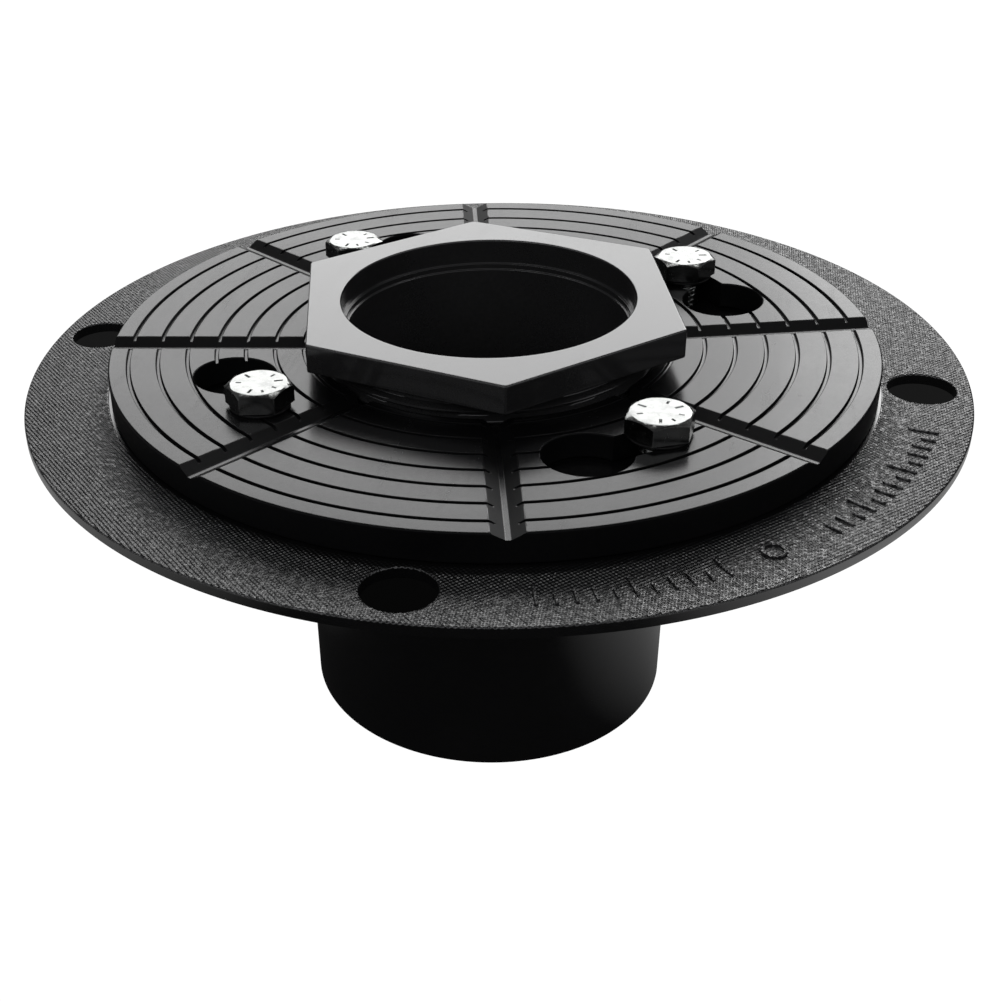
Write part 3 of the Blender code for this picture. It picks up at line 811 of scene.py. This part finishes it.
master = None
for tag, angle, spin in BOLTS:
    low, high = cad(f"bolt_{tag}")
    x, y = (low[0] + high[0]) / 2, (low[1] + high[1]) / 2
    if master is None:
        master = hex_screw(high[2] - TOP, low[2] - TOP)
        master.data.materials.append(STEEL)
        blank = master.data.copy()
        screw = master
    else:
        screw = link(bpy.data.objects.new("hex_screw", blank.copy()))
        mod = screw.modifiers.new("normals", "WEIGHTED_NORMAL")
        mod.mode, mod.weight, mod.keep_sharp = "FACE_AREA", 60, True
    screw.name = f"hex_screw_{tag}"
    spun(screw, spin)
    screw.data.transform(Matrix.Translation((x * MM, y * MM, 0)))
    piece(screw, f"bolt_{tag}", "zinc_steel", STEEL, f"bolt_{tag}")

    section = fillet([(4.3, TOP + seat + 0.70, 0.1, 2), (6.6, TOP + seat + 0.70, 0.15, 3),
                      (6.6, TOP + seat + 0.24, 0.12, 3), (4.3, TOP + seat + 0.24, 0.1, 2)])
    washer = tidy(turned(f"flat_washer_{tag}", section, 96, (x, y)))
    piece(washer, f"washer_{tag}", "nylon", NYLON, f"washer_{tag}")

    low, high = cad(f"threaded_insert_{tag}")
    z_hi, z_lo = high[2], low[2]
    n = 240
    tt = np.arange(n) * 2 * math.pi / n
    knurl = 0.22 * (1 - np.abs(((np.arange(n) % 5) - 2.5) / 2.5))

    def insert_loop(r, z, k=0.0):
        rr = r + knurl * k
        return np.stack([rr * np.cos(tt), rr * np.sin(tt), np.full(n, z)], -1)

    mid = (z_hi + z_lo) / 2
    loops = [insert_loop(4.55, z_hi), insert_loop(5.3, z_hi), insert_loop(5.5, z_hi - 0.25),
             insert_loop(5.5, z_hi - 0.5, 1.0), insert_loop(5.5, mid + 1.1, 1.0), insert_loop(5.4, mid + 0.9),
             insert_loop(5.15, mid + 0.7), insert_loop(5.15, mid - 0.7), insert_loop(5.4, mid - 0.9),
             insert_loop(5.5, mid - 1.1, 1.0), insert_loop(5.5, z_lo + 0.5, 1.0), insert_loop(5.5, z_lo + 0.25),
             insert_loop(5.3, z_lo), insert_loop(4.75, z_lo), insert_loop(4.3, z_lo + 0.4)]
    z0, z1 = z_lo + 0.5, z_hi - 0.4
    rows = int(round((z1 - z0) / BOLT_PITCH * 8))
    for k in range(rows + 1):
        z = z0 + (z1 - z0) * k / rows
        u = ((z - TOP) / BOLT_PITCH - tt / (2 * math.pi)) % 1.0
        tooth = np.clip((np.abs(2 * u - 1) - 0.12) / 0.76, 0, 1)
        strength = max(0.0, min(1.0, (z - z0) / (0.5 * BOLT_PITCH), (z1 - z) / (0.5 * BOLT_PITCH)))
        rr = 4.25 + 0.5 * tooth * strength
        loops.append(np.stack([rr * np.cos(tt), rr * np.sin(tt), np.full(n, z)], -1))
    insert = loops_object(f"brass_insert_{tag}", moved(loops, x, y))
    tidy(insert, 30.0)
    piece(insert, "base", "insert_brass", BRASS, f"threaded_insert_{tag}")

# ------------------------------------------------------------------- stage
VIEW = math.radians(9.55)          # the photograph looks from this far round
turn = Matrix.Rotation(VIEW, 3, "Z")
axis = turn @ Vector((0, 1, 0))    # away from the photograph's side
side = turn @ Vector((1, 0, 0))
eye = turn @ Vector((0.0, -2.991 * FLANGE_R * MM, 1.431 * FLANGE_R * MM)) + Vector((0, 0, TOP * MM))

bpy.ops.mesh.primitive_plane_add(size=8.0, location=(0, 0, -0.0002))
floor = bpy.context.object
floor.name = "floor"
mat, tree, bsdf = new_material("pale_floor")
tree.nodes.remove(bsdf)
spot = node(tree, "ShaderNodeNewGeometry").outputs["Position"]
sep = node(tree, "ShaderNodeSeparateXYZ")
tree.links.new(spot, sep.inputs[0])
glow = node(tree, "ShaderNodeEmission")
glow.inputs["Color"].default_value = (1, 1, 1, 1)
glow.inputs["Strength"].default_value = 1.05
# what the object sees of the floor: dark in front, brighter out to the right
# and, less so, to the left
along = math_node(tree, "ADD", math_node(tree, "MULTIPLY", sep.outputs[0], axis.x), math_node(tree, "MULTIPLY", sep.outputs[1], axis.y))
across = math_node(tree, "ADD", math_node(tree, "MULTIPLY", sep.outputs[0], side.x), math_node(tree, "MULTIPLY", sep.outputs[1], side.y))
half = math_node(tree, "MULTIPLY", along, 0.4)
right = spread(tree, math_node(tree, "ADD", across, half), 0.0, 0.78, 0.02, 0.17)
right = math_node(tree, "MULTIPLY", right, spread(tree, math_node(tree, "ADD", across, half), 1.0, 0.1, 0.19, 0.28))
left = spread(tree, math_node(tree, "SUBTRACT", half, across), 0.0, 0.45, 0.06, 0.22)
dim = node(tree, "ShaderNodeEmission")
dim.inputs["Color"].default_value = (1, 1, 1, 1)
tree.links.new(math_node(tree, "ADD", math_node(tree, "ADD", right, left), 0.012), dim.inputs["Strength"])
path = node(tree, "ShaderNodeLightPath")
both = node(tree, "ShaderNodeMixShader")
tree.links.new(path.outputs["Is Camera Ray"], both.inputs[0])
tree.links.new(dim.outputs[0], both.inputs[1])
tree.links.new(glow.outputs[0], both.inputs[2])
# the floor can't be seen from below
clear = node(tree, "ShaderNodeBsdfTransparent")
above = node(tree, "ShaderNodeMixShader")
tree.links.new(node(tree, "ShaderNodeNewGeometry").outputs["Backfacing"], above.inputs[0])
tree.links.new(both.outputs[0], above.inputs[1])
tree.links.new(clear.outputs[0], above.inputs[2])
tree.links.new(above.outputs[0], tree.nodes["Material Output"].inputs["Surface"])
floor.data.materials.append(mat)

# painted shade: a faintly glowing dark card lies close under each fixing hole and stands in for the shadow seen
# through it
for angle in (0.0, 90.0, 180.0, 270.0):
    x, y = polar(FIX_HOLE_CIRCLE, angle)
    bpy.ops.mesh.primitive_circle_add(vertices=64, radius=9.2 * MM, fill_type="NGON",
                                      location=(x * MM, y * MM, (TOP - RIM_T - 0.4) * MM))
    shade_card = bpy.context.object
    shade_card.name = "hole_shade_card"
    shade_card_mat, tree, bsdf = new_material("hole_shade_card")
    tree.nodes.remove(bsdf)
    glow = node(tree, "ShaderNodeEmission")
    glow.inputs["Color"].default_value = (1, 1, 1, 1)
    # painted shade level of each card; the front hole's card is the darkest
    glow.inputs["Strength"].default_value = 0.002 if angle == 270.0 else 0.010
    tree.links.new(glow.outputs[0], tree.nodes["Material Output"].inputs["Surface"])
    shade_card.data.materials.append(shade_card_mat)

world = bpy.data.worlds.new("studio")
bpy.context.scene.world = world
world.use_nodes = True
tree = world.node_tree
back = tree.nodes["Background"]
back.inputs["Color"].default_value = (0.03, 0.03, 0.031, 1)
height = node(tree, "ShaderNodeSeparateXYZ")
tree.links.new(node(tree, "ShaderNodeTexCoord").outputs["Generated"], height.inputs[0])
band = math_node(tree, "MULTIPLY", spread(tree, height.outputs[2], 0.0, 1.0, 0.28, 0.42),
                 spread(tree, height.outputs[2], 1.0, 0.0, 0.60, 0.82))
toward = math_node(tree, "ADD", math_node(tree, "MULTIPLY", height.outputs[0], axis.x),
                   math_node(tree, "MULTIPLY", height.outputs[1], axis.y))
band = math_node(tree, "MULTIPLY", band, spread(tree, toward, 1.0, 0.12, -0.1, 0.35))
tree.links.new(math_node(tree, "MULTIPLY_ADD", band, 23.0, 1.0), back.inputs["Strength"])
white = node(tree, "ShaderNodeBackground")
white.inputs["Color"].default_value = (1, 1, 1, 1)
white.inputs["Strength"].default_value = 1.05
path = node(tree, "ShaderNodeLightPath")
both = node(tree, "ShaderNodeMixShader")
tree.links.new(path.outputs["Is Camera Ray"], both.inputs[0])
tree.links.new(back.outputs[0], both.inputs[1])
tree.links.new(white.outputs[0], both.inputs[2])
tree.links.new(both.outputs[0], tree.nodes["World Output"].inputs["Surface"])


def panel(name, location, target, width, height, power, colour=(1, 1, 1)):
    data = bpy.data.lights.new(name, "AREA")
    data.shape = "RECTANGLE"
    data.size, data.size_y = width, height
    data.energy = power
    data.color = colour
    obj = bpy.data.objects.new(name, data)
    obj.location = location
    aim = Vector(target) - Vector(location)
    obj.rotation_euler = aim.to_track_quat("-Z", "Y").to_euler()
    link(obj)
    obj.visible_camera = False
    return obj


# ------------------------------------------------------------------ camera
camera_data = bpy.data.cameras.new("camera")
camera = link(bpy.data.objects.new("camera", camera_data))
bpy.context.scene.camera = camera
yaw, pitch, roll = math.radians(-5.223), math.radians(-30.78), math.radians(-2.656)
forward = Vector((math.sin(yaw) * math.cos(pitch), math.cos(yaw) * math.cos(pitch), math.sin(pitch)))
right = Vector((math.cos(yaw), -math.sin(yaw), 0.0))
up = right.cross(forward)
right2 = right * math.cos(roll) + up * math.sin(roll)
up2 = -right * math.sin(roll) + up * math.cos(roll)
pose = Matrix((turn @ right2, turn @ up2, turn @ -forward)).transposed()
camera.matrix_world = Matrix.Translation(eye) @ pose.to_4x4()
camera_data.sensor_width = 36.0
camera_data.lens = 1505.2 / 1001.0 * 36.0
camera_data.shift_x = (500.5 - 369.47) / 1001.0
camera_data.clip_start = 0.01

bpy.context.scene.view_settings.view_transform = "Standard"

target = Vector((0, 0, TOP * MM))
panel("back_softbox", target + axis * 1.12 + side * 0.03 + Vector((0, 0, 0.56)), target, 1.3, 0.54, 6.6)
panel("back_right_softbox", target + axis * 1.0 + side * 0.50 + Vector((0, 0, 0.52)), target, 0.5, 0.45, 1.4)
panel("upper_strip", target + axis * 0.50 + Vector((0, 0, 1.20)), target, 1.2, 0.12, 1.8)
panel("fill", target - axis * 1.2 + side * -0.9 + Vector((0, 0, 1.3)), target, 0.8, 0.8, 1.3)
